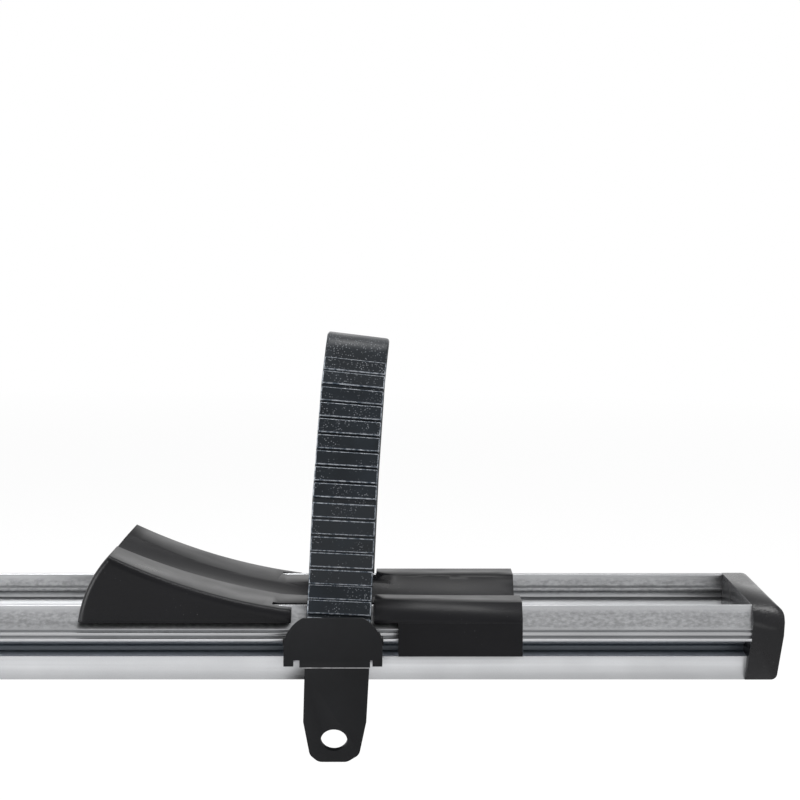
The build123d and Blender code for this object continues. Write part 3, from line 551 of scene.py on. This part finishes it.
def ladder_strap(side):
    """Band along the strap's line, rungs at a pitch on its near leg, a lean that grows upward, and an eye."""
    place, hand = HOLDERS[side]
    sizes = metres(STRAP_SIZES)
    sizes.update(STRAP_RUNGS)
    sizes.update({key: math.radians(value) for key, value in STRAP_ANGLES.items()})
    sizes.update({"Place": place * MM, "Base": HOLDER_BASE * MM, "Hand": hand})
    t = ShapeTree("ladder_strap", sizes)
    given = t.given
    line = t.node("GeometryNodeMeshToCurve", given["Start"])
    line = t.node("GeometryNodeFilletCurve", line, 10, given["Bend Radius"], True, mode="POLY")
    line = t.node("GeometryNodeSetCurveNormal", line, None, (1, 0, 0), mode="FREE")
    section = t.node("GeometryNodeCurvePrimitiveQuadrilateral", given["Band Width"], given["Band Thickness"])
    section = t.node("GeometryNodeFilletCurve", section, 3, given["Band Round"], True, mode="POLY")
    band = t.node("GeometryNodeCurveToMesh", line, section, None, True)

    rows = t.calc("SUBTRACT", given["Rung Count"], 1.0)
    last = t.calc("MULTIPLY_ADD", rows, given["Rung Pitch"], given["First Rung"])
    run = t.node("GeometryNodeTrimCurve", line, None, given["First Rung"], last, mode="LENGTH")
    places = t.step("GeometryNodeCurveToPoints", run, given["Rung Count"], mode="COUNT")
    half = t.calc("MULTIPLY", given["Band Thickness"], 0.5)
    reach = t.calc("ADD", half, given["Rung Height"])
    block = t.node("GeometryNodeMeshCube", t.node("ShaderNodeCombineXYZ", given["Rung Width"], reach,
                                                  given["Rung Length"]))
    lift = t.node("ShaderNodeCombineXYZ", None, t.calc("MULTIPLY", reach, -0.5), None)
    block = t.node("GeometryNodeTransform", block, lift)
    index = t.node("GeometryNodeInputIndex")
    flat = t.calc("DIVIDE", half, reach)
    fade = t.node("ShaderNodeMapRange", index, given["Full Rungs"], given["Rung Count"], 1.0, flat)
    scale = t.node("ShaderNodeCombineXYZ", 1.0, fade, 1.0)
    rungs = t.node("GeometryNodeInstanceOnPoints", places["Points"], None, block, None, None,
                   places["Rotation"], scale)
    rungs = t.node("GeometryNodeRealizeInstances", rungs)

    spot = t.step("ShaderNodeSeparateXYZ", t.node("GeometryNodeInputPosition"))
    rise = t.calc("DIVIDE", t.calc("SUBTRACT", spot["Z"], given["Foot Height"]), given["Lean Height"])
    rise = t.node("ShaderNodeClamp", rise)
    growth = t.calc("SUBTRACT", given["Top Lean"], given["Foot Lean"])
    cubed = t.calc("POWER", rise, 3.0)
    lean = t.calc("MULTIPLY_ADD", growth, cubed, given["Foot Lean"])
    drift = t.calc("MULTIPLY_ADD", t.calc("MULTIPLY", growth, cubed), 0.25, given["Foot Lean"])
    drift = t.calc("MULTIPLY", t.calc("MULTIPLY", drift, rise), given["Lean Height"])
    drift = t.calc("ADD", drift, given["Foot Shift"])
    across = t.calc("MULTIPLY", spot["X"], t.calc("COSINE", lean))
    across = t.calc("MULTIPLY_ADD", drift, given["Hand"], across)
    drop = t.calc("MULTIPLY", t.calc("MULTIPLY", spot["X"], t.calc("SINE", lean)), given["Hand"])
    height = t.calc("SUBTRACT", spot["Z"], drop)
    leant = t.node("GeometryNodeSetPosition", t.join(band, rungs), None,
                   t.node("ShaderNodeCombineXYZ", across, spot["Y"], height))

    ring = t.node("GeometryNodeCurvePrimitiveCircle", 48, given["Eye Radius"], mode="RADIUS")
    bore = t.node("GeometryNodeCurvePrimitiveCircle", 32, given["Eye Bore"], mode="RADIUS")
    face = t.node("GeometryNodeFillCurve", t.join(ring, bore), None, mode="TRIANGLES")
    wall = t.node("GeometryNodeExtrudeMesh", face, None, (0, 0, 1), given["Eye Width"], False)
    eye = t.join(wall, t.node("GeometryNodeFlipFaces", face))
    centre = t.node("ShaderNodeCombineXYZ", t.calc("MULTIPLY", given["Eye Width"], -0.5), given["Eye Side"],
                    given["Eye Height"])
    eye = t.node("GeometryNodeTransform", eye, centre, (0, math.radians(90), 0))

    placed = t.node("GeometryNodeTransform", t.join(leant, eye),
                    t.node("ShaderNodeCombineXYZ", given["Place"], None, given["Base"]))
    piece = add_object(side + "_ladder_strap", t.made(strap_line(), placed, FINISHES["strap"]))
    rounded(piece, "strap", STRAP_EDGE * MM, STRAP_EDGE_ANGLE, False)
    carry(piece, side + "_strap")


def add_thread(shape, first_angle, run, pitch, steps):
    """One helical ridge on a rod that stands on the origin."""
    last = None
    for i in range(steps + 1):
        angle = first_angle + math.tau * i / THREAD_TURN_STEPS
        middle = THREAD_STOP + run * i / steps
        row = [shape.verts.new((r * math.cos(angle), r * math.sin(angle), middle + share * pitch))
               for r, share in THREAD_PROFILE]
        if last is None:
            shape.faces.new(row)
        else:
            for j in range(len(row)):
                k = (j + 1) % len(row)
                shape.faces.new((last[j], last[k], row[k], row[j]))
        last = row
    shape.faces.new(last[::-1])


def threaded_rod(node, start, turn, length, lead):
    """Rod with a rolled thread, in place of a node's plain rod."""
    run = length - 2 * THREAD_STOP
    steps = round(run / lead * THREAD_TURN_STEPS)
    shape = bmesh.new()
    bmesh.ops.create_cone(shape, cap_ends=True, segments=CORE_SIDES, radius1=THREAD_CORE, radius2=THREAD_CORE,
                          depth=length)
    bmesh.ops.translate(shape, verts=shape.verts, vec=(0, 0, length / 2))
    for thread in range(THREAD_STARTS):
        add_thread(shape, math.tau * thread / THREAD_STARTS, run, lead / THREAD_STARTS, steps)
    bmesh.ops.recalc_face_normals(shape, faces=shape.faces)
    bmesh.ops.transform(shape, matrix=Matrix.Scale(MM, 4), verts=shape.verts)
    mesh = bpy.data.meshes.new(node + "_threaded")
    shape.to_mesh(mesh)
    shape.free()
    mesh.transform(Matrix.Translation(Vector(start) * MM) @ turn.to_4x4())
    shade_smooth(mesh)
    mesh.set_sharp_from_angle(angle=math.radians(35))
    piece = add_object(node + "_threaded", mesh)
    carry(piece, node)


# Rounding of each refined piece's edges, in millimetres
EDGES = {
    "wheel_rail": 0.18, "rear_end_cap": 0.5, "front_end_cap": 0.5,
    "rear_cradle": 0.5, "front_cradle": 0.5, "rear_buckle_lever": 0.18, "front_buckle_lever": 0.18,
    "front_saddle": 0.6, "rear_saddle": 0.6, "front_jaw": 0.6, "rear_jaw": 0.6,
    "arm_base": 0.6, "arm_head": 0.6, "upper_claw": 0.6, "arm_foot": 0.5, "arm_tube": 0.2,
    "claw_knob": 0.4, "front_clamp_knob": 0.4, "rear_clamp_knob": 0.4,
}

CREASES = {node: 52 for node in ("rear_cradle", "front_cradle", "rear_end_cap", "front_end_cap")}
SPECIAL = ("rear_strap", "front_strap", "front_clamp_screw", "rear_clamp_screw", "claw_screw")

for node, item in frame["nodes"].items():
    if node in EDGES:
        refined(node, EDGES[node] * MM, CREASES.get(node, EDGE_ANGLE))
    elif node not in SPECIAL:
        item.data.materials.clear()
        item.data.materials.append(PIN_COATING if node.endswith("_pin") else FINISHES[NODE_SLOTS[node]])


for side in HOLDERS:
    ladder_strap(side)

ALONG_X = Euler((0, math.radians(90), 0)).to_matrix()
UP_THE_ARM = Euler((0, math.radians(ARM_LEAN), 0)).to_matrix()
for side, bar in CROSSBARS.items():
    threaded_rod(side + "_clamp_screw", (bar - SCREW_REACH, 0, SCREW_HEIGHT), ALONG_X, SCREW_LENGTH, CLAMP_LEAD)
claw_start = Vector(ARM_PIVOT) + UP_THE_ARM @ Vector((0, CLAW_SCREW_SIDE, CLAW_SCREW_LOW))
threaded_rod("claw_screw", claw_start, UP_THE_ARM, CLAW_SCREW_LENGTH, CLAW_LEAD)


# Studio

def seen_rays(nodes, links):
    """One for what the camera sees, straight, mirrored or through glass, and nothing for the light given."""
    path = nodes.new("ShaderNodeLightPath")
    total = path.outputs["Is Camera Ray"]
    for key in ("Is Glossy Ray", "Is Transmission Ray"):
        add = nodes.new("ShaderNodeMath")
        add.operation = "ADD"
        add.use_clamp = True
        links.new(total, add.inputs[0])
        links.new(path.outputs[key], add.inputs[1])
        total = add.outputs["Value"]
    return total


def white_world():
    """White studio: pure white to the camera, softer and graded for the light it gives."""
    world = bpy.data.worlds.new("studio")
    bpy.context.scene.world = world
    world.use_nodes = True
    nodes, links = world.node_tree.nodes, world.node_tree.links
    nodes.clear()
    out = nodes.new("ShaderNodeOutputWorld")
    shown = nodes.new("ShaderNodeBackground")
    shown.inputs["Color"].default_value = (1, 1, 1, 1)
    giving = nodes.new("ShaderNodeBackground")
    coordinate = nodes.new("ShaderNodeTexCoord")
    parts = nodes.new("ShaderNodeSeparateXYZ")
    links.new(coordinate.outputs["Generated"], parts.inputs["Vector"])
    ramp = nodes.new("ShaderNodeValToRGB")
    for stop, colour in zip(ramp.color_ramp.elements, (WORLD_LOW, WORLD_HIGH)):
        stop.color = colour
    height = nodes.new("ShaderNodeMapRange")
    for key, value in zip(("From Min", "From Max"), WORLD_HEIGHTS):
        height.inputs[key].default_value = value
    links.new(parts.outputs["Z"], height.inputs["Value"])
    links.new(height.outputs["Result"], ramp.inputs["Fac"])
    links.new(ramp.outputs["Color"], giving.inputs["Color"])
    giving.inputs["Strength"].default_value = WORLD_STRENGTH
    mix = nodes.new("ShaderNodeMixShader")
    links.new(seen_rays(nodes, links), mix.inputs["Fac"])
    links.new(giving.outputs["Background"], mix.inputs[1])
    links.new(shown.outputs["Background"], mix.inputs[2])
    links.new(mix.outputs["Shader"], out.inputs["Surface"])


def pale_floor():
    """Pale floor under the feet, near white to the camera."""
    low = cad_box[0][2]
    mesh = bpy.data.meshes.new("floor")
    corners = [(x * FLOOR_HALF, y * FLOOR_HALF, low) for x, y in ((-1, -1), (1, -1), (1, 1), (-1, 1))]
    mesh.from_pydata(corners, [], [(0, 1, 2, 3)])
    floor = add_object("floor", mesh)
    material = bpy.data.materials.new("floor_paper")
    material.use_nodes = True
    nodes, links = material.node_tree.nodes, material.node_tree.links
    shader = nodes["Principled BSDF"]
    shader.inputs["Base Color"].default_value = (FLOOR_TONE, FLOOR_TONE, FLOOR_TONE, 1)
    shader.inputs["Roughness"].default_value = 0.9
    glow = nodes.new("ShaderNodeEmission")
    place = nodes.new("ShaderNodeTexCoord")
    far = nodes.new("ShaderNodeVectorMath")
    far.operation = "DISTANCE"
    far.inputs[1].default_value = (*FLOOR_CENTRE, low)
    links.new(place.outputs["Object"], far.inputs[0])
    fade = nodes.new("ShaderNodeMapRange")
    for key, value in zip(RANGE_KEYS, FLOOR_FADE):
        fade.inputs[key].default_value = value
    links.new(far.outputs["Value"], fade.inputs["Value"])
    share = nodes.new("ShaderNodeMath")
    share.operation = "MULTIPLY"
    links.new(fade.outputs["Result"], share.inputs[1])
    mix = nodes.new("ShaderNodeMixShader")
    links.new(seen_rays(nodes, links), share.inputs[0])
    links.new(share.outputs["Value"], mix.inputs["Fac"])
    links.new(shader.outputs["BSDF"], mix.inputs[1])
    links.new(glow.outputs["Emission"], mix.inputs[2])
    links.new(mix.outputs["Shader"], nodes["Material Output"].inputs["Surface"])
    mesh.materials.append(material)


def soft_lamp(name, place, size, power):
    """Rectangular soft box that faces the target."""
    data = bpy.data.lights.new(name, "AREA")
    data.shape = "RECTANGLE"
    data.size, data.size_y = size
    data.energy = power
    lamp = bpy.data.objects.new(name, data)
    lamp.location = place
    aim = Vector(TARGET) - Vector(place)
    lamp.rotation_euler = aim.to_track_quat("-Z", "Y").to_euler()
    bpy.context.scene.collection.objects.link(lamp)


def camera():
    """Camera a little above the tray, looking across it."""
    data = bpy.data.cameras.new("camera")
    data.sensor_width = SENSOR
    data.lens = FOCAL_PIXELS / IMAGE_WIDTH * SENSOR
    data.clip_start = 0.01
    item = bpy.data.objects.new("camera", data)
    item.location = CAMERA_PLACE
    item.rotation_euler = (math.radians(90 - CAMERA_PITCH), 0, 0)
    bpy.context.scene.collection.objects.link(item)
    bpy.context.scene.camera = item


white_world()
pale_floor()
camera()
for name, (place, size, power) in LAMPS.items():
    soft_lamp(name, place, size, power)
bpy.context.scene.view_settings.view_transform = "Standard"
